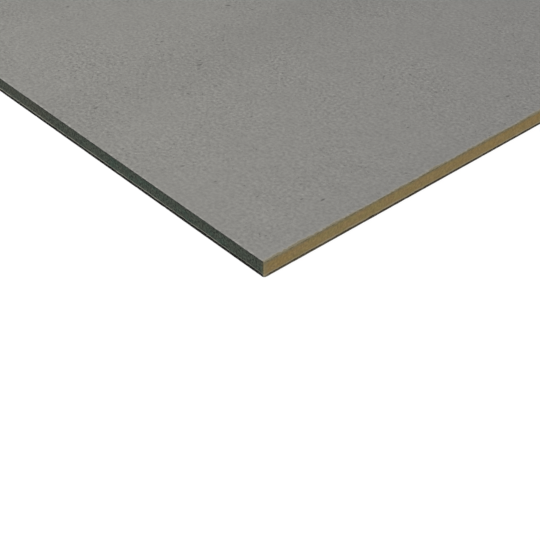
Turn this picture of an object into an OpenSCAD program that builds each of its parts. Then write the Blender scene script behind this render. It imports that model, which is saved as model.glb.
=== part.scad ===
// High-density polyisocyanurate roof cover board, half an inch thick: a rigid
// foam core bonded between two coated glass facers. The sheet lies flat, its
// length along X and its width along Y, with the origin at the middle of the
// underside.

/* [Sheet] */
// Length of the sheet, 8 ft
sheet_length = 2438.4; // [1219.2:0.1:3048]
// Width of the sheet, 4 ft
sheet_width = 1219.2; // [609.6:0.1:1524]
// Thickness over both facers, 1/2 in
sheet_thickness = 12.7; // [6.4:0.1:25.4]

/* [Facers] */
// Thickness of the coated glass facer on top
top_facer_thickness = 1.0; // [0.5:0.05:2]
// Thickness of the coated glass facer underneath
bottom_facer_thickness = 1.0; // [0.5:0.05:2]
// Radius of the top facer's trimmed corners
top_corner_radius = 1.0; // [0.5:0.1:4]
// Radius of the bottom facer's corners, which handling rounds more
bottom_corner_radius = 2.0; // [0.5:0.1:4]

/* [Core] */
// How far the sawn foam stands back from the facers' cut edges
core_setback = 0.4; // [0.1:0.05:1.5]
// Radius of the foam's upright corners
core_corner_radius = 1.2; // [0.5:0.1:4]

/* [Hidden] */
corner_facets = 48;
core_length = sheet_length - 2 * core_setback;
core_width = sheet_width - 2 * core_setback;
core_thickness = sheet_thickness - bottom_facer_thickness - top_facer_thickness;
core_underside = bottom_facer_thickness;
top_facer_underside = sheet_thickness - top_facer_thickness;

// Outline of a trimmed sheet: a rectangle with four round corners
module trimmed_outline(length, width, corner_radius) {
    square([length - 2 * corner_radius, width], center = true);
    square([length, width - 2 * corner_radius], center = true);
    for (side_x = [-1, 1], side_y = [-1, 1])
        translate([side_x * (length / 2 - corner_radius), side_y * (width / 2 - corner_radius)])
            circle(r = corner_radius, $fn = corner_facets);
}

// One layer of the laminate, lying on the height given
module layer(length, width, thickness, corner_radius, underside) {
    translate([0, 0, underside])
        linear_extrude(height = thickness)
            trimmed_outline(length, width, corner_radius);
}

// Dark-coated glass facer that lies on the insulation or deck
module bottom_facer() {
    color([0.20, 0.20, 0.18])
        layer(sheet_length, sheet_width, bottom_facer_thickness, bottom_corner_radius, 0);
}

// Closed-cell polyisocyanurate foam, sawn to size between the facers
module foam_core() {
    color([0.62, 0.52, 0.30])
        layer(core_length, core_width, core_thickness, core_corner_radius, core_underside);
}

// Grey mineral-coated glass facer that takes the roof membrane
module top_facer() {
    color([0.55, 0.55, 0.53])
        layer(sheet_length, sheet_width, top_facer_thickness, top_corner_radius, top_facer_underside);
}

bottom_facer();
foam_core();
top_facer();
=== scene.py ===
"""A polyiso roof cover board, half an inch thick: one whole 8 ft by 4 ft sheet, lying flat.

It is rigid foam bonded between two coated glass facers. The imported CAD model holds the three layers. This
script gives each layer its finished form: facers with trimmed, slightly ragged edges, loose glass fibres and
handling dents, and a foam core with sawn sides. Everything is in metres, in the CAD model's own frame.
"""

import math

import bpy
import numpy as np
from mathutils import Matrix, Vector
from mathutils.geometry import delaunay_2d_cdt


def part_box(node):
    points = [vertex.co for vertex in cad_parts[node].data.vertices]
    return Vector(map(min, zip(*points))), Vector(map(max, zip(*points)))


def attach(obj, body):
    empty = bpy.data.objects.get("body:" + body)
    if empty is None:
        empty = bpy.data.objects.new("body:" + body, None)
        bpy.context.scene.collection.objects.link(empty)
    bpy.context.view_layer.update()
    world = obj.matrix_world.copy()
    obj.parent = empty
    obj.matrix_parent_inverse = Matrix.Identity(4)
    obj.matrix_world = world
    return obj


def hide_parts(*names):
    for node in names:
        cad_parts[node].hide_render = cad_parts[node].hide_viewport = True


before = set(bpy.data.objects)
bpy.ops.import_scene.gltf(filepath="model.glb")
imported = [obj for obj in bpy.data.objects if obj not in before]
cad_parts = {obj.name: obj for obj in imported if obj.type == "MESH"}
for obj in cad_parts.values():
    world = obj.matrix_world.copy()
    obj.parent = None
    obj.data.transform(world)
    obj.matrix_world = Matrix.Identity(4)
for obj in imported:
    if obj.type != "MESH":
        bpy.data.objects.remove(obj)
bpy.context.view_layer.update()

MM = 0.001
TOP_LOW, TOP_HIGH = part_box("top_facer")
CORE_LOW, CORE_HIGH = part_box("foam_core")
BOTTOM_LOW, BOTTOM_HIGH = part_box("bottom_facer")
BODY = "root"

# The sheet's corners, seen from above. Handling rounds the bottom facer's more than the top one's.
TOP_CORNER_RADIUS = 1.0 * MM
CORE_CORNER_RADIUS = 1.2 * MM
BOTTOM_CORNER_RADIUS = 2.0 * MM
CORNER_STEPS = 6

# The corner that the camera looks at: the right end of the front long edge.
NEAR_CORNER = Vector((TOP_HIGH.x, TOP_LOW.y, BOTTOM_LOW.z))


# ---------------------------------------------------------------- outlines and relief


def rounded_outline(low, high, radius, spacing):
    """Points round a rectangle with rounded corners, anticlockwise, with each point's outward direction."""
    centres = (
        (high.x - radius, low.y + radius),
        (high.x - radius, high.y - radius),
        (low.x + radius, high.y - radius),
        (low.x + radius, low.y + radius),
    )
    points, outward = [], []
    for turn, centre in enumerate(centres):
        angles = np.radians(np.linspace(-90, 0, CORNER_STEPS + 1) + 90 * turn)
        around = np.stack([np.cos(angles), np.sin(angles)], 1)
        arc = np.array(centre) + radius * around
        along = np.array([-math.sin(angles[-1]), math.cos(angles[-1])])
        following = np.array(centres[(turn + 1) % len(centres)])
        run = float((following - np.array(centre)) @ along)
        steps = max(2, round(run / spacing))
        straight = arc[-1] + np.outer(np.arange(1, steps) * run / steps, along)
        points += [arc, straight]
        outward += [around, np.repeat(around[-1:], steps - 1, 0)]
    return np.concatenate(points), np.concatenate(outward)


def smooth_noise(rows, count, passes, rng):
    """Random values with a spread of 1, softened by that many passes. Each row closes on itself."""
    values = rng.normal(size=(rows, count))
    for _ in range(passes):
        values = (np.roll(values, 1, 1) + 2 * values + np.roll(values, -1, 1)) / 4
        if rows > 1:
            padded = np.pad(values, ((1, 1), (0, 0)), mode="edge")
            values = (padded[:-2] + 2 * padded[1:-1] + padded[2:]) / 4
    return (values - values.mean()) / values.std()


# ---------------------------------------------------------------- closed sheets


# Points that fill a face, in rings that open out from its edge: distance in from the edge, and spacing.
FILL_RINGS = ((2 * MM, 2 * MM), (5 * MM, 4 * MM), (11 * MM, 8 * MM), (23 * MM, 16 * MM))
# The even grid inside the rings starts this far in.
GRID_START = 42 * MM
# Points closer than this are taken as one, and faces that meet more sharply than this keep a sharp edge.
SAME_POINT = 1e-7
SHARP_ANGLE = math.radians(34)


def face_fill(low, high, grid):
    """Points over the middle of a face: close rings near its edge and an even grid inside them."""
    points = []
    for inset, spacing in FILL_RINGS:
        shift = Vector((inset, inset, 0))
        ring, _ = rounded_outline(low + shift, high - shift, spacing, spacing)
        points.append(ring)
    across = [
        np.linspace(low[i] + GRID_START, high[i] - GRID_START, round((high[i] - low[i]) / grid))
        for i in (0, 1)
    ]
    points.append(np.stack(np.meshgrid(*across), -1).reshape(-1, 2))
    return np.concatenate(points)


def triangulated(edge, fill):
    """Triangles that fill a closed line through more points, by their places in edge and fill together."""
    together = [Vector(point) for point in np.concatenate([edge, fill])]
    inside_only = 1
    found = delaunay_2d_cdt(together, [], [list(range(len(edge)))], inside_only, SAME_POINT)
    source = [originals[0] for originals in found[3]]
    return np.array([[source[v] for v in face] for face in found[2]])


# How a sheet lies on the square map that its colours are baked through, as shares of the map's height: its
# bottom face, each row of its edge, and its top face. The edge is cut into rows of equal length, so that its
# thin lines keep their width, and a face that the laminate hides gets next to nothing.
BAKE_MAP = "OFBake"
EDGE_ROWS = 24
ROW_GAP = 0.004
TOP_LAYOUT = (0.02, 0.008, 0.66)
CORE_LAYOUT = (0.02, 0.035, 0.02)
BOTTOM_LAYOUT = (0.66, 0.008, 0.02)


def edge_places(rings, foot, row_height):
    """Where the corners of the edge's faces lie on the map, level by level, in rows from foot upwards."""
    steps = np.linalg.norm(np.roll(rings[0], -1, 0) - rings[0], axis=1)
    reached = np.concatenate([[0], np.cumsum(steps) / steps.sum() * EDGE_ROWS])
    row = np.floor((reached[:-1] + reached[1:]) / 2)
    left, right = np.clip(reached[:-1] - row, 0, 1), np.clip(reached[1:] - row, 0, 1)
    climb = np.linalg.norm(np.diff(rings, axis=0), axis=2).mean(1)
    rise = np.concatenate([[0], np.cumsum(climb) / climb.sum()]) * row_height
    base = foot + row * (row_height + ROW_GAP)
    return np.concatenate([
        np.stack([left, base + low, right, base + low, right, base + high, left, base + high], 1)
        for low, high in zip(rise, rise[1:])
    ]).reshape(-1, 2)


def lay_out(mesh, corners, rings, bottom, top, layout):
    """Gives a sheet its bake map. Its faces come in this order: the edge's, the bottom's and the top's."""
    under, row_height, over = layout
    flat = corners[:, :2]
    spread = (flat - flat.min(0)) / np.ptp(flat, axis=0)
    places = np.concatenate([
        edge_places(rings, under + ROW_GAP, row_height),
        (1, 0) + spread[bottom.ravel()] * (-1, under),
        (0, 1 - over) + spread[top.ravel()] * (1, over),
    ])
    mesh.uv_layers.new(name=BAKE_MAP).uv.foreach_set("vector", places.ravel())


def closed_sheet(name, rings, bottom_fill, top_fill, layout):
    """A closed sheet from rings of points that run from its bottom face, up its edge, onto its top face."""
    levels, count = rings.shape[:2]
    ring_points = levels * count
    corners = np.concatenate([rings.reshape(-1, 3), bottom_fill, top_fill])
    start = np.arange(count)
    after = np.roll(start, -1)
    walls = np.concatenate([
        np.stack([start, after, after + count, start + count], 1) + level * count
        for level in range(levels - 1)
    ])
    bottom = triangulated(rings[0, :, :2], bottom_fill[:, :2])
    bottom = np.where(bottom < count, bottom, bottom - count + ring_points)[:, ::-1]
    top = triangulated(rings[-1, :, :2], top_fill[:, :2])
    top_ring = ring_points - count
    top = np.where(top < count, top + top_ring, top - count + ring_points + len(bottom_fill))
    mesh = bpy.data.meshes.new(name)
    mesh.from_pydata(corners.tolist(), [], walls.tolist() + bottom.tolist() + top.tolist())
    lay_out(mesh, corners, rings, bottom, top, layout)
    mesh.shade_smooth()
    mesh.set_sharp_from_angle(angle=SHARP_ANGLE)
    piece = bpy.data.objects.new(name, mesh)
    bpy.context.scene.collection.objects.link(piece)
    return piece


def at_height(points, height):
    """Flat points raised to a height, one for all or one each."""
    return np.column_stack([points, np.broadcast_to(height, len(points))])


# ---------------------------------------------------------------- the top facer's face


# Handling dents near the corner that the camera looks at, in millimetres: how far in from the end, how far in
# from the front edge, length and width. The last value is the turn in degrees.
NEAR_DENTS = (
    (290, 215, 10.0, 5.0, 30),
    (225, 30, 7.0, 4.5, 80),
    (225, 130, 9.0, 4.5, 65),
    (230, 135, 5.0, 2.5, 80),
    (220, 125, 5.0, 2.5, 80),
    (30, 275, 7.0, 3.5, 80),
    (10, 270, 5.0, 2.5, 70),
    (25, 75, 6.5, 3.0, 95),
    (35, 65, 5.0, 2.5, 80),
    (380, 110, 5.0, 3.5, 45),
    (65, 320, 4.0, 3.0, 45),
    (50, 185, 4.0, 2.5, 90),
    (270, 225, 3.5, 3.0, 0),
    (120, 30, 7.0, 2.5, 60),
    (265, 60, 3.0, 2.5, 90),
    (195, 175, 4.5, 2.5, 45),
    (235, 65, 4.0, 2.0, 70),
    (165, 165, 4.0, 2.0, 70),
    (90, 35, 4.0, 2.5, 45),
    (10, 140, 5.0, 2.0, 50),
    (25, 160, 4.0, 2.5, 80),
    (120, 205, 3.5, 2.5, 90),
)
NEAR_REGION = 420 * MM
DENT_DEPTH = 0.22 * MM
# The dents scattered outside that region: how many, how far from the edges, and the least and the greatest of
# their length in millimetres, width as a share of the length, and depth as a share of the near ones'.
FAR_DENTS = 240
DENT_MARGIN = 8 * MM
DENT_LENGTHS = (2.5, 7.0)
DENT_WIDTHS = (0.4, 0.8)
DENT_DEPTHS = (0.4, 1.0)
# The rings of points that a dent gets: how far out, as a share of its half size, and how many points.
DENT_RINGS = ((0.3, 6), (0.6, 10), (0.9, 12), (1.3, 14))
# The slow waves of a laminated sheet: length and height in millimetres, and direction in degrees.
WAVES = ((610, 0.06, 12), (340, 0.04, 78), (190, 0.02, 140), (130, 0.01, 40))


def handling_dents():
    """Every dent, near and scattered, as centre x, centre y, length, width, turn in radians and depth."""
    rng = np.random.default_rng(41)
    dents = []
    for inward, along, length, width, turn in NEAR_DENTS:
        x, y = NEAR_CORNER.x - inward * MM, NEAR_CORNER.y + along * MM
        dents.append((x, y, length * MM, width * MM, math.radians(turn), DENT_DEPTH))
    while len(dents) < len(NEAR_DENTS) + FAR_DENTS:
        x, y = (rng.uniform(TOP_LOW[i] + DENT_MARGIN, TOP_HIGH[i] - DENT_MARGIN) for i in (0, 1))
        length = rng.uniform(*DENT_LENGTHS) * MM
        width = length * rng.uniform(*DENT_WIDTHS)
        turn = rng.uniform(0, math.pi)
        depth = DENT_DEPTH * rng.uniform(*DENT_DEPTHS)
        if NEAR_CORNER.x - x > NEAR_REGION or y - NEAR_CORNER.y > NEAR_REGION:
            dents.append((x, y, length, width, turn, depth))
    return dents


def dent_points(dents):
    """Rings of points in and round every dent, so that the face has the points to show it."""
    points = []
    for x, y, length, width, turn, _ in dents:
        points.append([[x, y]])
        for share, count in DENT_RINGS:
            angle = np.linspace(0, 2 * math.pi, count, endpoint=False) + share
            along, across = length / 2 * share * np.cos(angle), width / 2 * share * np.sin(angle)
            points.append(np.stack([
                x + along * math.cos(turn) - across * math.sin(turn),
                y + along * math.sin(turn) + across * math.cos(turn),
            ], 1))
    return np.concatenate(points)


def face_relief(points, dents):
    """How far each point of the top face lies below its highest level, and how scuffed it is, from 0 to 1."""
    drop = np.zeros(len(points))
    for length, height, direction in WAVES:
        heading = np.array([math.cos(math.radians(direction)), math.sin(math.radians(direction))])
        phase = points @ heading / (length * MM) * 2 * math.pi
        drop += height * MM * (1 - np.cos(phase)) / 2
    scuff = np.zeros(len(points))
    for x, y, length, width, turn, depth in dents:
        offset = points - np.array([x, y])
        along = offset @ np.array([math.cos(turn), math.sin(turn)]) / (length / 2)
        across = offset @ np.array([-math.sin(turn), math.cos(turn)]) / (width / 2)
        bowl = np.clip(1 - along**2 - across**2, 0, 1)
        drop += depth * bowl
        scuff = np.maximum(scuff, bowl * depth / DENT_DEPTH)
    return drop, scuff


# ---------------------------------------------------------------- the three layers


# How far apart a facer's points lie: along its edge, over a face that shows, and over a face that doesn't.
EDGE_SPACING = 1.0 * MM
FACE_GRID = 26 * MM
HIDDEN_GRID = 110 * MM
# How ragged the knife leaves the facers' edges. The bottom one's stiff coating cuts cleaner.
TOP_RAGGEDNESS = 0.07 * MM
BOTTOM_RAGGEDNESS = 0.03 * MM
# What makes up the raggedness, as shares of it: an even part, the knife's slow wander, and bites out of the
# coating, which open where their noise passes this value. Together they go no deeper than the last value.
EVEN_INSET = 0.5
KNIFE_WANDER = 0.5
BITE_SIZE = 2.5
BITE_START = 0.9
DEEPEST_BITE = 0.35 * MM


def ragged_insets(count, raggedness, rng):
    """How far a trimmed facer's edge falls short of its line, at its low, middle and high level."""
    wander = smooth_noise(1, count, 60, rng)[0]
    bites = np.clip(smooth_noise(1, count, 2, rng)[0] - BITE_START, 0, 2)
    fine = [smooth_noise(1, count, 1, rng)[0] for _ in range(3)]
    shares = [EVEN_INSET + KNIFE_WANDER * wander + level + BITE_SIZE * bites for level in fine]
    return [np.clip(share * raggedness, 0, DEEPEST_BITE) for share in shares]


# The top facer's arris: how far its rounding reaches in and down. Then how far up the middle of the edge is.
ARRIS_REACH = 0.12 * MM
ARRIS_DEPTH = 0.10 * MM
RIM_DROP = ARRIS_DEPTH / 6
TOP_EDGE_MIDDLE = 0.45 * MM
# The face's inner points keep this far from its edge, and what lies this far below the face isn't scuffed.
FACE_MARGIN = 1 * MM
SCUFF_DEPTH = 0.3 * MM


def build_top_facer():
    """The top facer: a face with slow waves and dents, and a trimmed edge with a barely rounded arris."""
    rng = np.random.default_rng(7)
    line, outward = rounded_outline(TOP_LOW, TOP_HIGH, TOP_CORNER_RADIUS, EDGE_SPACING)
    low_inset, middle_inset, high_inset = ragged_insets(len(line), TOP_RAGGEDNESS, rng)
    dents = handling_dents()
    rim = line - outward * (high_inset + ARRIS_REACH)[:, None]
    rim_drop, _ = face_relief(rim, dents)
    fill = np.concatenate([face_fill(TOP_LOW, TOP_HIGH, FACE_GRID), dent_points(dents)])
    past_low = np.all(fill > np.array(TOP_LOW.xy) + FACE_MARGIN, 1)
    short_of_high = np.all(fill < np.array(TOP_HIGH.xy) - FACE_MARGIN, 1)
    fill = fill[past_low & short_of_high]
    fill_drop, _ = face_relief(fill, dents)
    rings = np.stack([
        at_height(line - outward * low_inset[:, None], TOP_LOW.z),
        at_height(line - outward * middle_inset[:, None], TOP_LOW.z + TOP_EDGE_MIDDLE),
        at_height(line - outward * high_inset[:, None], TOP_HIGH.z - ARRIS_DEPTH - rim_drop),
        at_height(rim, TOP_HIGH.z - RIM_DROP - rim_drop),
    ])
    hidden = at_height(face_fill(TOP_LOW, TOP_HIGH, HIDDEN_GRID), TOP_LOW.z)
    face = at_height(fill, TOP_HIGH.z - fill_drop)
    piece = closed_sheet("top_facer_sheet", rings, hidden, face, TOP_LAYOUT)
    record_wear(piece, dents)
    return piece


def record_wear(piece, dents):
    """Notes on each point of the top facer how scuffed it is, and how far it lies below the face."""
    places = np.zeros(len(piece.data.vertices) * 3)
    piece.data.vertices.foreach_get("co", places)
    places = places.reshape(-1, 3)
    drop, scuff = face_relief(places[:, :2], dents)
    below = TOP_HIGH.z - drop - places[:, 2]
    scuff[below > SCUFF_DEPTH] = 0
    for name, values in (("scuff", scuff), ("below_face_mm", below / MM)):
        piece.data.attributes.new(name, "FLOAT", "POINT").data.foreach_set("value", values)


# The foam's sides: how many rows of points they have, and how far apart the points lie along them.
CORE_ROWS = 9
CORE_SPACING = 1.2 * MM
# Their relief: open cells, the slow wander of the saw, and torn cells, which open where a noise passes this
# value. It goes no further than the last two, inwards and outwards.
CELL_RELIEF = 0.07 * MM
SAW_WANDER = 0.03 * MM
TORN_CELL = 0.10 * MM
TORN_START = 1.3
DEEPEST_RELIEF = 0.35 * MM
HIGHEST_RELIEF = 0.28 * MM


def build_foam_core():
    """The foam core: sides as the saw leaves them, with broken cells and a slow wander of the cut."""
    rng = np.random.default_rng(19)
    line, outward = rounded_outline(CORE_LOW, CORE_HIGH, CORE_CORNER_RADIUS, CORE_SPACING)
    count = len(line)
    relief = CELL_RELIEF * smooth_noise(CORE_ROWS, count, 1, rng)
    relief += SAW_WANDER * smooth_noise(CORE_ROWS, count, 30, rng)
    relief -= TORN_CELL * np.clip(smooth_noise(CORE_ROWS, count, 2, rng) - TORN_START, 0, 2)
    relief = np.clip(relief, -DEEPEST_RELIEF, HIGHEST_RELIEF)
    heights = np.linspace(CORE_LOW.z, CORE_HIGH.z, CORE_ROWS)
    rings = np.stack([
        at_height(line + outward * relief[row][:, None], height) for row, height in enumerate(heights)
    ])
    fill = face_fill(CORE_LOW, CORE_HIGH, HIDDEN_GRID)
    under, over = at_height(fill, CORE_LOW.z), at_height(fill, CORE_HIGH.z)
    return closed_sheet("foam_core_slab", rings, under, over, CORE_LAYOUT)


# How far the bottom facer's lower arris is worn, and how far up the middle of its edge is.
WORN_ARRIS = 0.05 * MM
BOTTOM_EDGE_MIDDLE = 0.6 * MM


def build_bottom_facer():
    """The bottom facer: a flat coated underside, and a trimmed edge whose lower arris is worn."""
    rng = np.random.default_rng(23)
    line, outward = rounded_outline(BOTTOM_LOW, BOTTOM_HIGH, BOTTOM_CORNER_RADIUS, EDGE_SPACING)
    low_inset, middle_inset, high_inset = ragged_insets(len(line), BOTTOM_RAGGEDNESS, rng)
    rings = np.stack([
        at_height(line - outward * (low_inset + WORN_ARRIS)[:, None], BOTTOM_LOW.z),
        at_height(line - outward * low_inset[:, None], BOTTOM_LOW.z + WORN_ARRIS),
        at_height(line - outward * middle_inset[:, None], BOTTOM_LOW.z + BOTTOM_EDGE_MIDDLE),
        at_height(line - outward * high_inset[:, None], BOTTOM_HIGH.z),
    ])
    underside = at_height(face_fill(BOTTOM_LOW, BOTTOM_HIGH, FACE_GRID), BOTTOM_LOW.z)
    hidden = at_height(face_fill(BOTTOM_LOW, BOTTOM_HIGH, HIDDEN_GRID), BOTTOM_HIGH.z)
    return closed_sheet("bottom_facer_sheet", rings, underside, hidden, BOTTOM_LAYOUT)


# ---------------------------------------------------------------- loose glass fibres, by Geometry Nodes


def add(tree, kind, links=None, **settings):
    """Adds a node with its settings. links gives its inputs nodes, sockets or values, by name or number."""
    made = tree.nodes.new(kind)
    for key, value in settings.items():
        setattr(made, key, value)
    for key, value in (links or {}).items():
        if isinstance(key, str):
            key = next(i for i, socket in enumerate(made.inputs) if socket.enabled and socket.name == key)
        if isinstance(value, bpy.types.Node):
            value = next(socket for socket in value.outputs if socket.enabled)
        if isinstance(value, bpy.types.NodeSocket):
            tree.links.new(value, made.inputs[key])
        else:
            made.inputs[key].default_value = value
    return made


# What the fibre tree takes: type, name and usual value. Each fibre is between the shortest and the longest.
FIBRE_SIZES = (
    ("NodeSocketGeometry", "Edge line", None),
    ("NodeSocketFloat", "Spacing", 2.4 * MM),
    ("NodeSocketFloat", "Thickness", 0.05 * MM),
    ("NodeSocketFloat", "Shortest", 0.3 * MM),
    ("NodeSocketFloat", "Longest", 1.1 * MM),
    ("NodeSocketVector", "Droop", (0.0, 0.0, -1.0)),
    ("NodeSocketInt", "Seed", 0),
)
# How far a fibre's ends curl sideways, in thicknesses. Then how far it leans along the edge, per 1 of droop.
FIBRE_CURL = (3.0, 0.0, 0.0)
FIBRE_LEAN = 1.6


def fibre_tree(material):
    """Geometry Nodes that hang thin tapered fibres from a facer's edge, each leaning its own way."""
    tree = bpy.data.node_groups.new("edge fibres", "GeometryNodeTree")
    for kind, name, value in FIBRE_SIZES:
        socket = tree.interface.new_socket(name, in_out="INPUT", socket_type=kind)
        if value is not None:
            socket.default_value = value
    tree.interface.new_socket("Fibres", in_out="OUTPUT", socket_type="NodeSocketGeometry")
    given = add(tree, "NodeGroupInput").outputs

    line = add(tree, "GeometryNodeMeshToCurve", {"Mesh": given["Edge line"]})
    spots = add(tree, "GeometryNodeResampleCurve", {"Curve": line, "Length": given["Spacing"]}, mode="LENGTH")
    points = add(tree, "GeometryNodeCurveToPoints", {"Curve": spots}, mode="EVALUATED")

    rod_sizes = {"Vertices": 3, "Side Segments": 3, "Radius Top": 0.35, "Radius Bottom": 1.0, "Depth": 1.0}
    rod = add(tree, "GeometryNodeMeshCone", rod_sizes)
    place = add(tree, "GeometryNodeInputPosition")
    along = add(tree, "ShaderNodeSeparateXYZ", {"Vector": place}).outputs["Z"]
    curl = add(tree, "ShaderNodeMath", {0: along, 1: along}, operation="MULTIPLY")
    shift = add(tree, "ShaderNodeVectorMath", {0: FIBRE_CURL, "Scale": curl}, operation="SCALE")
    bent = add(tree, "GeometryNodeSetPosition", {"Geometry": rod, "Offset": shift})

    run = add(tree, "GeometryNodeInputNamedAttribute", {"Name": "along"}, data_type="FLOAT_VECTOR")
    leans = {"Min": -FIBRE_LEAN, "Max": FIBRE_LEAN, "Seed": given["Seed"]}
    lean = add(tree, "FunctionNodeRandomValue", leans, data_type="FLOAT")
    sideways = add(tree, "ShaderNodeVectorMath", {0: run, "Scale": lean}, operation="SCALE")
    heading = add(tree, "ShaderNodeVectorMath", {0: sideways, 1: given["Droop"]}, operation="ADD")
    turn = add(tree, "FunctionNodeAlignRotationToVector", {"Vector": heading}, axis="Z")
    lengths = {"Min": given["Shortest"], "Max": given["Longest"], "Seed": given["Seed"]}
    length = add(tree, "FunctionNodeRandomValue", lengths, data_type="FLOAT")
    size = add(tree, "ShaderNodeCombineXYZ", {"X": given["Thickness"], "Y": given["Thickness"], "Z": length})
    stand = {"Points": points, "Instance": bent, "Rotation": turn, "Scale": size}
    fibres = add(tree, "GeometryNodeInstanceOnPoints", stand)
    real = add(tree, "GeometryNodeRealizeInstances", {"Geometry": fibres})
    finish = add(tree, "GeometryNodeSetMaterial", {"Geometry": real, "Material": material})
    add(tree, "NodeGroupOutput", {"Fibres": finish})
    return tree


# How far inside a facer's edge its loose fibres are rooted, and the spacing of the line that carries them.
FIBRE_ROOT = 0.2 * MM
FIBRE_LINE_STEP = 4 * MM


def edge_fibres(name, low, high, radius, height, sizes, tree):
    """Loose fibres along a facer's trimmed edge, as one plain mesh. sizes sets the tree's inputs by name."""
    line, outward = rounded_outline(low, high, radius, FIBRE_LINE_STEP)
    count = len(line)
    mesh = bpy.data.meshes.new(name)
    loop = [(i, (i + 1) % count) for i in range(count)]
    mesh.from_pydata(at_height(line - outward * FIBRE_ROOT, height).tolist(), loop, [])
    run = np.column_stack([-outward[:, 1], outward[:, 0], np.zeros(count)])
    mesh.attributes.new("along", "FLOAT_VECTOR", "POINT").data.foreach_set("vector", run.ravel())
    maker = bpy.data.objects.new(name + "_line", mesh)
    bpy.context.scene.collection.objects.link(maker)
    modifier = maker.modifiers.new("fibres", "NODES")
    modifier.node_group = tree
    for socket in tree.interface.items_tree:
        if socket.in_out == "INPUT" and socket.name in sizes:
            modifier[socket.identifier] = sizes[socket.name]
    evaluated = maker.evaluated_get(bpy.context.evaluated_depsgraph_get())
    made = bpy.data.meshes.new_from_object(evaluated)
    bpy.data.objects.remove(maker)
    piece = bpy.data.objects.new(name, made)
    bpy.context.scene.collection.objects.link(piece)
    return piece


# ---------------------------------------------------------------- finishes


SOFT = {"interpolation_type": "SMOOTHSTEP"}
COLOUR = {"data_type": "RGBA"}
TINTED = {"data_type": "RGBA", "blend_type": "MULTIPLY"}

# Grains of the fine patterns, in millimetres. The real ones are too fine to show: the coating's grit is about
# 0.3 mm, its pits and the tufts of its torn mat 0.5 mm and the foam's cells 0.3 mm across. They are drawn as
# coarse as they need to show.
COATING_GRAIN = 2.5
COATING_GRIT = 1.1
COATING_PIT = 1.9
TORN_MAT = 2.8
FOAM_CELL = 1.5
SAW_MARK = 1.1

# The coating is coarser in some patches than in others: how wide they are, and where in their noise the board
# lies, in mm. The corners are rubbed smoother: over this much of each, in mm, and down to this share.
COATING_PATCH = 60
PATCH_SHIFT = (4900, 2200, 0)
RUBBED_CORNER = 300
CORNER_COARSENESS = 0.7

# The laminator's faint dark bands lie parallel to the ends. They start this far in, with this pitch, in mm.
# They grow from nothing to their full depth of tone between these distances from the ends.
FIRST_BAND = 38
BAND_PITCH = 190
BAND_RISE = (40, 220)
BAND_DEPTH = 0.045
# The face is a touch darker over this margin, in mm.
MARGIN = 30

# The rim's reach wanders by a slow drift and a fine fray, each given as grain in mm, detail and weight in mm.
RIM_DRIFT = (38, 1.0, 4.0)
RIM_FRAY = (2.2, 1.0, 3.0)
# The rims: the axis that they lie across, their tint, how strongly it covers the grey, and their width in mm.
# The pale one on the long edges is partly rubbed fibre and partly a painted highlight on the arris.
RIMS = (("Y", "#ADABA4", 0.04, 2.4), ("X", "#9C9278", 0.27, 3.0), ("X", "#665E44", 0.7, 1.4))


def linear(hex_colour):
    """An sRGB hex colour as the linear colour that shaders take."""
    value = int(hex_colour.lstrip("#"), 16)
    shares = ((value >> shift & 255) / 255 for shift in (16, 8, 0))
    return (*(s / 12.92 if s <= 0.04045 else ((s + 0.055) / 1.055) ** 2.4 for s in shares), 1.0)


def new_finish(name, **values):
    """A material with one Principled shader; values are the sockets that are the same all over."""
    material = bpy.data.materials.new(name)
    material.use_nodes = True
    tree = material.node_tree
    tree.nodes.clear()
    sockets = {key.replace("_", " "): value for key, value in values.items()}
    shader = add(tree, "ShaderNodeBsdfPrincipled", sockets)
    add(tree, "ShaderNodeOutputMaterial", {"Surface": shader})
    return material, tree, shader


def set_surface(tree, shader, colour, pattern, depth):
    """Gives a shader its colour, and a relief of that depth in metres that follows a pattern."""
    tree.links.new(colour.outputs[2], shader.inputs["Base Color"])
    bump = add(tree, "ShaderNodeBump", {"Height": pattern, "Distance": depth, "Strength": 1.0})
    tree.links.new(bump.outputs[0], shader.inputs["Normal"])


def place_in_mm(tree):
    """Where a point of the surface lies, in millimetres."""
    spot = add(tree, "ShaderNodeTexCoord").outputs["Object"]
    return add(tree, "ShaderNodeVectorMath", {0: spot, "Scale": 1 / MM}, operation="SCALE")


def inward_from(tree, place, high):
    """How far in a point lies from the ends (X), from the long edges (Y), and below a layer's top (Z).

    The board is centred on the origin and rests at zero height, so one high corner serves all four sides.
    """
    folded = add(tree, "ShaderNodeVectorMath", {0: place}, operation="ABSOLUTE")
    inward = add(tree, "ShaderNodeVectorMath", {0: tuple(high / MM), 1: folded}, operation="SUBTRACT")
    return add(tree, "ShaderNodeSeparateXYZ", {"Vector": inward}).outputs


# Wear at a corner reaches this many times as far along the end as along the long edge.
WEAR_REACH = 2.5


def corner_reach(tree, inward):
    """How far a point lies from the nearest corner, in mm along the end, as wear counts it."""
    reach = {0: inward["X"], 1: WEAR_REACH, 2: inward["Y"]}
    return add(tree, "ShaderNodeMath", reach, operation="MULTIPLY_ADD")


def past_corner(tree, inward):
    """How far round the corner a point lies on the end, in mm. On the long edge it is below 0."""
    return add(tree, "ShaderNodeMath", {0: inward["Y"], 1: inward["X"]}, operation="SUBTRACT")


def on_long_edge(tree, past):
    """1 on the long edges and 0 on the ends, from how far round the corner a point lies."""
    return add(tree, "ShaderNodeMapRange", {"Value": past, "From Min": 0.1, "From Max": -1.3}, **SOFT)


def noise_sum(tree, place, layers):
    """Noises added up, to about 0 on average. Each is its grain in millimetres, its detail and its weight."""
    total = -0.5 * sum(weight for _, _, weight in layers)
    for grain, detail, weight in layers:
        noise = add(tree, "ShaderNodeTexNoise", {"Vector": place, "Scale": 1 / grain, "Detail": detail})
        total = add(tree, "ShaderNodeMath", {0: noise, 1: weight, 2: total}, operation="MULTIPLY_ADD")
    return total


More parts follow.
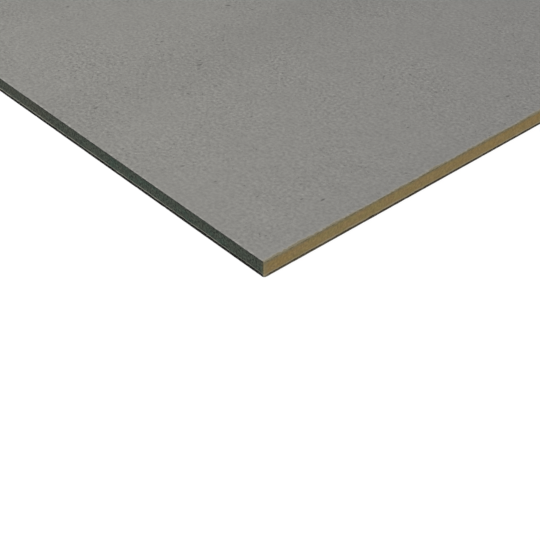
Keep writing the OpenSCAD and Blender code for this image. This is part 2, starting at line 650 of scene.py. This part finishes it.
def coating_coarseness(tree, place, inward):
    """How coarse the coating is, about 1 on average: it changes in patches and falls towards the corners."""
    shifted = add(tree, "ShaderNodeVectorMath", {0: place, 1: PATCH_SHIFT}, operation="ADD")
    patch = noise_sum(tree, shifted, ((COATING_PATCH, 1.0, 1.15),))
    reach = add(tree, "ShaderNodeMath", {0: inward["X"], 1: inward["Y"]}, operation="ADD")
    share = {"Value": reach, "From Max": RUBBED_CORNER, "To Min": CORNER_COARSENESS}
    share = add(tree, "ShaderNodeMapRange", share)
    return add(tree, "ShaderNodeMath", {0: patch, 1: share, 2: share}, operation="MULTIPLY_ADD")


def rolled_tone(tree, place, inward, coarse):
    """How light the rolled coating is: grain, slow clouds, the laminator's bands and a darker margin."""
    grain = noise_sum(tree, place, ((COATING_GRAIN, 2.0, 0.94), (COATING_GRIT, 2.0, 0.24)))
    grain = add(tree, "ShaderNodeMath", {0: grain, 1: coarse}, operation="MULTIPLY")
    clouds = noise_sum(tree, place, ((95, 2.0, 0.032), (27, 1.0, 0.042), (9, 1.0, 0.135)))

    # At a scale of 1 the wave repeats every pi / 10.
    phase = 2 * math.pi * (FIRST_BAND - TOP_HIGH.x / MM) / BAND_PITCH
    wave = {"Vector": place, "Scale": math.pi / 10 / BAND_PITCH, "Phase Offset": phase}
    wave = add(tree, "ShaderNodeTexWave", wave, wave_type="BANDS", bands_direction="X")
    band = add(tree, "ShaderNodeMapRange", {"Value": wave, "From Min": 0.45, "From Max": 0.0}, **SOFT)
    faint, full = BAND_RISE
    depth = {"Value": inward["X"], "From Min": faint, "From Max": full, "To Min": 0.0, "To Max": -BAND_DEPTH}
    depth = add(tree, "ShaderNodeMapRange", depth)
    band = add(tree, "ShaderNodeMath", {0: band, 1: depth}, operation="MULTIPLY")

    margin = add(tree, "ShaderNodeMath", {0: inward["X"], 1: inward["Y"]}, operation="MINIMUM")
    margin = {"Value": margin, "From Max": MARGIN, "To Min": -0.02, "To Max": 0.01}
    tone = grain
    for part in (clouds, band, add(tree, "ShaderNodeMapRange", margin)):
        tone = add(tree, "ShaderNodeMath", {0: tone, 1: part}, operation="ADD")
    return grain, clouds, tone


def pitted_and_flecked(tree, colour, place, inward, coarse, grain, clouds):
    """The coating's colour with its dark pits and scuffs, and its pale flecks of bare fibre, which also paint
    a highlight along the long edges' rims.
    """
    # Pits lie where a fine noise is lowest, and closer together where the coating is dark.
    pits = noise_sum(tree, place, ((COATING_PIT, 2.0, 1.0),))
    pits = add(tree, "ShaderNodeMath", {0: pits, 1: coarse}, operation="MULTIPLY")
    pit = add(tree, "ShaderNodeMath", {0: clouds, 1: 0.8, 2: pits}, operation="MULTIPLY_ADD")
    pit = {"Value": pit, "From Min": -0.15, "From Max": -0.25, "To Max": 0.75}
    pit = add(tree, "ShaderNodeMapRange", pit, **SOFT)

    # The dents are rubbed dark in patches.
    scuff = add(tree, "ShaderNodeAttribute", attribute_name="scuff").outputs["Fac"]
    rubbed = add(tree, "ShaderNodeMath", {0: grain, 1: -1.2, 2: scuff}, operation="MULTIPLY_ADD")
    rubbed = add(tree, "ShaderNodeMath", {0: rubbed, 1: scuff}, operation="MULTIPLY")
    rubbed = {"Value": rubbed, "From Min": 0.1, "From Max": 0.9, "To Max": 0.8}
    rubbed = add(tree, "ShaderNodeMapRange", rubbed, **SOFT)
    dark = add(tree, "ShaderNodeMath", {0: pit, 1: rubbed}, operation="MAXIMUM")

    # Flecks lie where the same fine noise is highest, and crowd the rims of the long edges, where they are
    # partly bare fibre and partly a painted highlight on the arris.
    rim_flecks_and_highlight = {"Value": inward["Y"], "From Min": 2.8, "From Max": 0.8, "To Max": 0.16}
    fleck = add(tree, "ShaderNodeMath", {0: add(tree, "ShaderNodeMapRange", rim_flecks_and_highlight), 1: pits}, operation="ADD")
    fleck = {"Value": fleck, "From Min": 0.16, "From Max": 0.28, "To Max": 0.37}
    fleck = add(tree, "ShaderNodeMapRange", fleck, **SOFT)
    for cover, tint in ((dark, "#4E4D4A"), (fleck, "#A8A6A0")):
        colour = add(tree, "ShaderNodeMix", {"Factor": cover, "A": colour, "B": linear(tint)}, **COLOUR)
    return colour


def rimmed(tree, colour, place, inward, fray):
    """The coating's colour with its rim: rubbed pale and partly a painted highlight on the long edges, dusted
    at the ends and the corners.
    """
    reach = add(tree, "ShaderNodeMath", {0: noise_sum(tree, place, (RIM_DRIFT,)), 1: fray}, operation="ADD")
    for axis, tint, strength, width in RIMS:
        rim = add(tree, "ShaderNodeMath", {0: inward[axis], 1: reach}, operation="ADD")
        rim = {"Value": rim, "From Min": width, "From Max": 0.45 * width, "To Max": strength}
        rim = add(tree, "ShaderNodeMapRange", rim, **SOFT)
        colour = add(tree, "ShaderNodeMix", {"Factor": rim, "A": colour, "B": linear(tint)}, **COLOUR)
    tip = {"Value": corner_reach(tree, inward), "From Min": 3.6, "From Max": 1.6}
    tip = add(tree, "ShaderNodeMapRange", tip)
    return add(tree, "ShaderNodeMix", {"Factor": tip, "A": colour, "B": linear("#7A7564")}, **COLOUR)


def torn_mat(tree, place, past):
    """The colour of the mat where the knife tore it: dyed on the long edges, dusted with foam at the ends."""
    torn = noise_sum(tree, place, ((TORN_MAT, 1.0, 1.0),))
    torn = add(tree, "ShaderNodeMapRange", {"Value": torn, "From Min": -0.2, "From Max": 0.2}, **SOFT)
    dusted = {"Factor": torn, "A": linear("#5C543A"), "B": linear("#787056")}
    dusted = add(tree, "ShaderNodeMix", dusted, **COLOUR)
    dyed = {"Factor": torn, "A": linear("#020202"), "B": linear("#363A34")}
    dyed = add(tree, "ShaderNodeMix", dyed, **COLOUR)
    either = {"Factor": on_long_edge(tree, past), "A": dusted, "B": dyed}
    return add(tree, "ShaderNodeMix", either, **COLOUR)


def coated_glass_top():
    """Mineral-coated glass mat, rolled and cured: matt grey, finely pitted and flecked, dusty at its rim."""
    matt = {"Roughness": 0.9, "Specular_IOR_Level": 0.3}
    material, tree, shader = new_finish("mineral-coated glass facer, grey", **matt)
    place = place_in_mm(tree)
    inward = inward_from(tree, place, TOP_HIGH)
    past = past_corner(tree, inward)
    coarse = coating_coarseness(tree, place, inward)
    grain, clouds, tone = rolled_tone(tree, place, inward, coarse)
    share = add(tree, "ShaderNodeMapRange", {"Value": tone, "From Min": -0.5, "From Max": 0.5})
    greys = {"Factor": share, "A": linear("#5B5A57"), "B": linear("#908F8A")}
    colour = add(tree, "ShaderNodeMix", greys, **COLOUR)

    # Towards the middle of the ends the coating is a shade darker and cooler: painted shade for the falloff
    # of the softbox's light.
    shade = add(tree, "ShaderNodeMapRange", {"Value": past, "From Min": -120, "From Max": 430})
    shaded = {"Factor": shade, "A": colour, "B": linear("#F6F6FA")}
    colour = add(tree, "ShaderNodeMix", shaded, **TINTED)
    colour = pitted_and_flecked(tree, colour, place, inward, coarse, grain, clouds)
    fray = noise_sum(tree, place, (RIM_FRAY,))
    colour = rimmed(tree, colour, place, inward, fray)

    # The cut edge starts just below the rim, along a frayed line.
    below = add(tree, "ShaderNodeAttribute", attribute_name="below_face_mm").outputs["Fac"]
    below = add(tree, "ShaderNodeMath", {0: fray, 1: 0.03, 2: below}, operation="MULTIPLY_ADD")
    cut = add(tree, "ShaderNodeMapRange", {"Value": below, "From Min": 0.03, "From Max": 0.08}, **SOFT)
    edge = torn_mat(tree, place, past)
    colour = add(tree, "ShaderNodeMix", {"Factor": cut, "A": colour, "B": edge}, **COLOUR)
    set_surface(tree, shader, colour, grain, 0.25 * MM)
    return material


# The foam's patches are this many times as long as they are high.
PATCH_FLATNESS = 2.6
# What has stained the foam's sides, and the shade painted on them, in mm. The dark skin, deepened by painted
# shade under the top facer's lip, starts and is full at these depths below the top facer. The soaked mat ends
# and is full at these heights. The dark band of painted shade at the foot reaches these on ends and long
# edges.
SKIN_AND_SHADE_DEPTHS = (2.4, 0.4)
SOAKED_HEIGHTS = (3.0, 2.2)
FOOT_SHADE_HEIGHTS = (1.6, 2.0)
# The foam's two colours, each with its patches, the hue that drifts through them, and its darkest cells.
TAN_FOAM = {"patches": ("#87784E", "#8B7347"), "drift": "#8A764F", "cells": "#D2D2D2"}
GREEN_FOAM = {"patches": ("#4A4B41", "#3D4D43"), "drift": "#454B42", "cells": "#545454"}


def foam_colours(tree, patches, hues, cells):
    """The tan of sawn foam and the green of dyed foam, each with its patches, drifting hue and cells."""
    patch = add(tree, "ShaderNodeMapRange", {"Value": patches, "From Min": -0.2, "From Max": 0.2}, **SOFT)
    hue = add(tree, "ShaderNodeMapRange", {"Value": hues, "From Min": -0.15, "From Max": 0.15}, **SOFT)
    cell = add(tree, "ShaderNodeMapRange", {"Value": cells, "From Min": -0.22, "From Max": 0.22})
    made = []
    for foam in (TAN_FOAM, GREEN_FOAM):
        first, second = (linear(tint) for tint in foam["patches"])
        colour = add(tree, "ShaderNodeMix", {"Factor": patch, "A": first, "B": second}, **COLOUR)
        drift = {"Factor": hue, "A": colour, "B": linear(foam["drift"])}
        colour = add(tree, "ShaderNodeMix", drift, **COLOUR)
        light = {"Factor": cell, "A": linear(foam["cells"]), "B": linear("#FFFFFF")}
        light = add(tree, "ShaderNodeMix", light, **COLOUR)
        made.append(add(tree, "ShaderNodeMix", {"Factor": 1.0, "A": colour, "B": light}, **TINTED))
    return made


def dyed_and_dusted(tree, tan, green, inward, ragged):
    """The foam's colour all round, and where it is dyed: dye has tinged the ends and dust the long edges."""
    past = add(tree, "ShaderNodeMath", {0: past_corner(tree, inward), 1: ragged}, operation="ADD")
    dyed = on_long_edge(tree, past)
    tinge = {"Value": past, "From Min": 4.0, "From Max": 0.5, "To Max": 0.6}
    tinge = add(tree, "ShaderNodeMapRange", tinge, **SOFT)
    tan = add(tree, "ShaderNodeMix", {"Factor": tinge, "A": tan, "B": linear("#746D54")}, **COLOUR)
    dusted = {"Value": inward["X"], "From Min": 3.5, "From Max": 0.5, "To Max": 0.5}
    dusted = add(tree, "ShaderNodeMapRange", dusted)
    green = add(tree, "ShaderNodeMix", {"Factor": dusted, "A": green, "B": linear("#524D33")}, **COLOUR)
    return add(tree, "ShaderNodeMix", {"Factor": dyed, "A": tan, "B": green}, **COLOUR), dyed


def skin_and_lip_shade(tree, colour, dyed, level):
    """The foam's colour with the dark skin that lies under the top facer, deepened by painted shade under the
    facer's lip.
    """
    foam_top = CORE_HIGH.z / MM
    start, full = (foam_top - depth for depth in SKIN_AND_SHADE_DEPTHS)
    skin_and_shade = {"Value": level, "From Min": start, "From Max": full, "To Max": 0.3}
    skin_and_shade = add(tree, "ShaderNodeMapRange", skin_and_shade, **SOFT)
    # Painted shade: the dark colour the foam takes under the facer's lip, over its denser skin.
    dull = {"Factor": dyed, "A": linear("#5C6058"), "B": linear("#24261F")}
    dull = add(tree, "ShaderNodeMix", dull, **COLOUR)
    return add(tree, "ShaderNodeMix", {"Factor": skin_and_shade, "A": colour, "B": dull}, **COLOUR)


def soaked(tree, colour, dyed, level, patches, hues, inward):
    """The foam's colour with the pale line of soaked mat over the bottom facer, dyed near the corners."""
    none, full = SOAKED_HEIGHTS
    soak = add(tree, "ShaderNodeMath", {0: patches, 1: 1.5, 2: level}, operation="MULTIPLY_ADD")
    line = add(tree, "ShaderNodeMapRange", {"Value": soak, "From Min": none, "From Max": full}, **SOFT)
    strong = {"Value": hues, "From Min": -0.2, "From Max": 0.1, "To Min": 0.5}
    strong = add(tree, "ShaderNodeMapRange", strong)
    line = add(tree, "ShaderNodeMath", {0: line, 1: strong}, operation="MULTIPLY")
    clear = add(tree, "ShaderNodeMapRange", {"Value": inward["X"], "From Min": 8, "From Max": 50}, **SOFT)
    dyed_mat = {"Factor": clear, "A": linear("#5B5D54"), "B": linear("#7B7B71")}
    dyed_mat = add(tree, "ShaderNodeMix", dyed_mat, **COLOUR)
    pale = add(tree, "ShaderNodeMix", {"Factor": dyed, "A": linear("#8A7F66"), "B": dyed_mat}, **COLOUR)
    return add(tree, "ShaderNodeMix", {"Factor": line, "A": colour, "B": pale}, **COLOUR)


def shaded_foot(tree, colour, dyed, level, inward):
    """The foam's colour with a dark band of painted shade at its foot, for the contact shadow along the
    bottom, fading at the very corners.
    """
    on_ends, on_long_edges = FOOT_SHADE_HEIGHTS
    foot_shade_top = {"Value": dyed, "To Min": on_ends, "To Max": on_long_edges}
    foot_shade_top = add(tree, "ShaderNodeMapRange", foot_shade_top)
    foot_shade = add(tree, "ShaderNodeMath", {0: foot_shade_top, 1: level}, operation="SUBTRACT")
    foot_shade = add(tree, "ShaderNodeMapRange", {"Value": foot_shade, "From Min": -0.15, "From Max": 0.15}, **SOFT)
    clear_of_corner = {"Value": corner_reach(tree, inward), "From Min": 1.5, "From Max": 4.0}
    clear_of_corner = add(tree, "ShaderNodeMapRange", clear_of_corner, **SOFT)
    foot_shade = add(tree, "ShaderNodeMath", {0: foot_shade, 1: clear_of_corner}, operation="MULTIPLY")
    # Painted shade: the band's colour stands in for the contact shadow along the board's foot.
    foot_shade_colour = {"Factor": dyed, "A": linear("#40392C"), "B": linear("#0F0F0D")}
    foot_shade_colour = add(tree, "ShaderNodeMix", foot_shade_colour, **COLOUR)
    return add(tree, "ShaderNodeMix", {"Factor": foot_shade, "A": colour, "B": foot_shade_colour}, **COLOUR)


def sawn_foam():
    """Closed-cell polyiso foam: golden tan where it is sawn across, dyed dark green on the long edges."""
    material, tree, shader = new_finish("sawn polyiso foam", Roughness=0.95, Specular_IOR_Level=0.15)
    place = place_in_mm(tree)
    inward = inward_from(tree, place, CORE_HIGH)
    height = add(tree, "ShaderNodeSeparateXYZ", {"Vector": place}).outputs["Z"]
    drawn = add(tree, "ShaderNodeMapping", {"Vector": place, "Scale": (1.0, 1.0, PATCH_FLATNESS)})
    patches = noise_sum(tree, drawn, ((200, 1.0, 1.0), (15, 1.5, 0.5)))
    hues = noise_sum(tree, drawn, ((9, 1.0, 1.0),))
    cells = noise_sum(tree, place, ((FOAM_CELL, 3.0, 1.0),))
    ragged = noise_sum(tree, place, ((SAW_MARK, 1.0, 1.0),))
    tan, green = foam_colours(tree, patches, hues, cells)
    colour, dyed = dyed_and_dusted(tree, tan, green, inward, ragged)

    # The layers above and below the foam have stained it, up and down to ragged lines. Painted shade darkens
    # it under the top facer's lip and along its foot.
    level = add(tree, "ShaderNodeMath", {0: ragged, 1: 0.8, 2: height}, operation="MULTIPLY_ADD")
    colour = skin_and_lip_shade(tree, colour, dyed, level)
    colour = soaked(tree, colour, dyed, level, patches, hues, inward)
    colour = shaded_foot(tree, colour, dyed, level, inward)
    set_surface(tree, shader, colour, cells, 0.2 * MM)
    return material


def coated_glass_bottom():
    """Asphalt-coated glass mat: nearly black and dull, rubbed down to the pale mat at the sheet's corners."""
    matt = {"Roughness": 0.9, "Specular_IOR_Level": 0.15}
    material, tree, shader = new_finish("asphalt-coated glass facer", **matt)
    place = place_in_mm(tree)
    inward = inward_from(tree, place, BOTTOM_HIGH)
    grain = noise_sum(tree, place, ((2.2, 2.0, 1.0), (24, 1.0, 0.4)))
    share = add(tree, "ShaderNodeMapRange", {"Value": grain, "From Min": -0.3, "From Max": 0.3}, **SOFT)
    blacks = {"Factor": share, "A": linear("#0E0E0C"), "B": linear("#22211E")}
    colour = add(tree, "ShaderNodeMix", blacks, **COLOUR)

    # Foam dust clings to the cut edge at the ends, and towards the corners it is paler.
    dust = add(tree, "ShaderNodeMath", {0: grain, 1: 0.5, 2: inward["X"]}, operation="MULTIPLY_ADD")
    dust = {"Value": dust, "From Min": 0.8, "From Max": 0.3, "To Max": 0.7}
    dust = add(tree, "ShaderNodeMapRange", dust, **SOFT)
    rubbed = add(tree, "ShaderNodeMapRange", {"Value": inward["Y"], "From Min": 110, "From Max": 20}, **SOFT)
    dusty = {"Factor": rubbed, "A": linear("#4C4435"), "B": linear("#615945")}
    dusty = add(tree, "ShaderNodeMix", dusty, **COLOUR)
    colour = add(tree, "ShaderNodeMix", {"Factor": dust, "A": colour, "B": dusty}, **COLOUR)

    # The coating is worn away at the very corners.
    away = {0: grain, 1: 1.5, 2: corner_reach(tree, inward)}
    away = add(tree, "ShaderNodeMath", away, operation="MULTIPLY_ADD")
    worn = add(tree, "ShaderNodeMapRange", {"Value": away, "From Min": 3.8, "From Max": 2.4}, **SOFT)
    colour = add(tree, "ShaderNodeMix", {"Factor": worn, "A": colour, "B": linear("#706C5E")}, **COLOUR)
    set_surface(tree, shader, colour, grain, 0.2 * MM)
    return material


def glass_fibre():
    """Loose E-glass fibre dulled by coating dust: pale, faintly glossy."""
    material, tree, shader = new_finish("glass fibre", Roughness=0.5, IOR=1.55)
    dust = noise_sum(tree, place_in_mm(tree), ((6, 1.0, 1.0),))
    share = add(tree, "ShaderNodeMapRange", {"Value": dust, "From Min": -0.25, "From Max": 0.25}, **SOFT)
    pales = {"Factor": share, "A": linear("#8E8C84"), "B": linear("#B0AEA6")}
    colour = add(tree, "ShaderNodeMix", pales, **COLOUR)
    tree.links.new(colour.outputs[2], shader.inputs["Base Color"])
    return material


# ---------------------------------------------------------------- floor, light and camera


# The floor is a light table: with this much of its own light it stays white right up to the board.
FLOOR_HALF = 60.0
FLOOR_GLOW = 0.92


def build_floor():
    """A wide opal acrylic floor, lit from below."""
    mesh = bpy.data.meshes.new("floor")
    signs = ((-1, -1), (1, -1), (1, 1), (-1, 1))
    mesh.from_pydata([(x * FLOOR_HALF, y * FLOOR_HALF, BOTTOM_LOW.z) for x, y in signs], [], [(0, 1, 2, 3)])
    floor = bpy.data.objects.new("floor", mesh)
    bpy.context.scene.collection.objects.link(floor)
    opal = {"Base_Color": linear("#5A5A5A"), "Roughness": 0.9, "Specular_IOR_Level": 0.0}
    glow = {"Emission_Color": linear("#FFFFFF"), "Emission_Strength": FLOOR_GLOW}
    material, _, _ = new_finish("opal acrylic, lit", **opal, **glow)
    mesh.materials.append(material)


# Where the softbox hangs and where it points, both from the near corner. Then its side and its power.
SOFTBOX_PLACE = Vector((-0.3, -0.8, 0.78))
SOFTBOX_AIM = Vector((-0.1, 0.15, 0))
SOFTBOX_SIDE = 0.9
SOFTBOX_WATTS = 8.0


def build_light():
    """An even white surround and one softbox in front of the near corner."""
    world = bpy.data.worlds.new("studio")
    world.use_nodes = True
    world.node_tree.nodes["Background"].inputs["Color"].default_value = (1, 1, 1, 1)
    world.node_tree.nodes["Background"].inputs["Strength"].default_value = 1.0
    bpy.context.scene.world = world
    box = bpy.data.lights.new("softbox", "AREA")
    box.shape = "SQUARE"
    box.size = SOFTBOX_SIDE
    box.energy = SOFTBOX_WATTS
    lamp = bpy.data.objects.new("softbox", box)
    lamp.location = NEAR_CORNER + SOFTBOX_PLACE
    lamp.rotation_euler = (SOFTBOX_AIM - SOFTBOX_PLACE).to_track_quat("-Z", "Y").to_euler()
    lamp.visible_camera = False
    bpy.context.scene.collection.objects.link(lamp)


# Where the camera stands from the near corner, how far it is turned and raised, in degrees, and its lens and
# its sensor's width, in millimetres.
CAMERA_PLACE = Vector((0.4421, -0.3889, 0.476))
AZIMUTH, ELEVATION = 48.3, 38.56
LENS, SENSOR = 79.5, 36.0


def build_camera():
    """Looks down on the near corner, with the long front edge to the left and the sawn end to the right."""
    optics = bpy.data.cameras.new("camera")
    optics.lens, optics.sensor_width = LENS, SENSOR
    camera = bpy.data.objects.new("camera", optics)
    azimuth, elevation = math.radians(AZIMUTH), math.radians(ELEVATION)
    back = Vector((
        math.sin(azimuth) * math.cos(elevation),
        -math.cos(azimuth) * math.cos(elevation),
        math.sin(elevation),
    ))
    camera.location = NEAR_CORNER + CAMERA_PLACE
    camera.rotation_mode = "QUATERNION"
    camera.rotation_quaternion = (-back).to_track_quat("-Z", "Y")
    bpy.context.scene.collection.objects.link(camera)
    bpy.context.scene.camera = camera


# ---------------------------------------------------------------- the board


def dress(piece, material, node=None):
    """Gives a piece its finish and puts it on the board's one body, in place of the CAD node named."""
    piece.data.materials.clear()
    piece.data.materials.append(material)
    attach(piece, BODY)
    if node:
        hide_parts(node)


build_camera()
build_light()
build_floor()
dress(build_top_facer(), coated_glass_top(), "top_facer")
dress(build_foam_core(), sawn_foam(), "foam_core")
dress(build_bottom_facer(), coated_glass_bottom(), "bottom_facer")

# Fibres hang from the top facer's edge and stand up from the bottom one's, over the foam's set-back side.
fibre = glass_fibre()
fibres = fibre_tree(fibre)
hanging = {"Droop": (0.0, 0.0, -1.0), "Seed": 3}
standing = {"Droop": (0.0, 0.0, 1.0), "Spacing": 4.0 * MM, "Seed": 5}
top_line = (TOP_LOW, TOP_HIGH, TOP_CORNER_RADIUS, TOP_LOW.z + FIBRE_ROOT)
bottom_line = (BOTTOM_LOW, BOTTOM_HIGH, BOTTOM_CORNER_RADIUS, BOTTOM_HIGH.z)
dress(edge_fibres("top_edge_fibres", *top_line, hanging, fibres), fibre)
dress(edge_fibres("bottom_edge_fibres", *bottom_line, standing, fibres), fibre)

bpy.context.scene.view_settings.view_transform = "Standard"
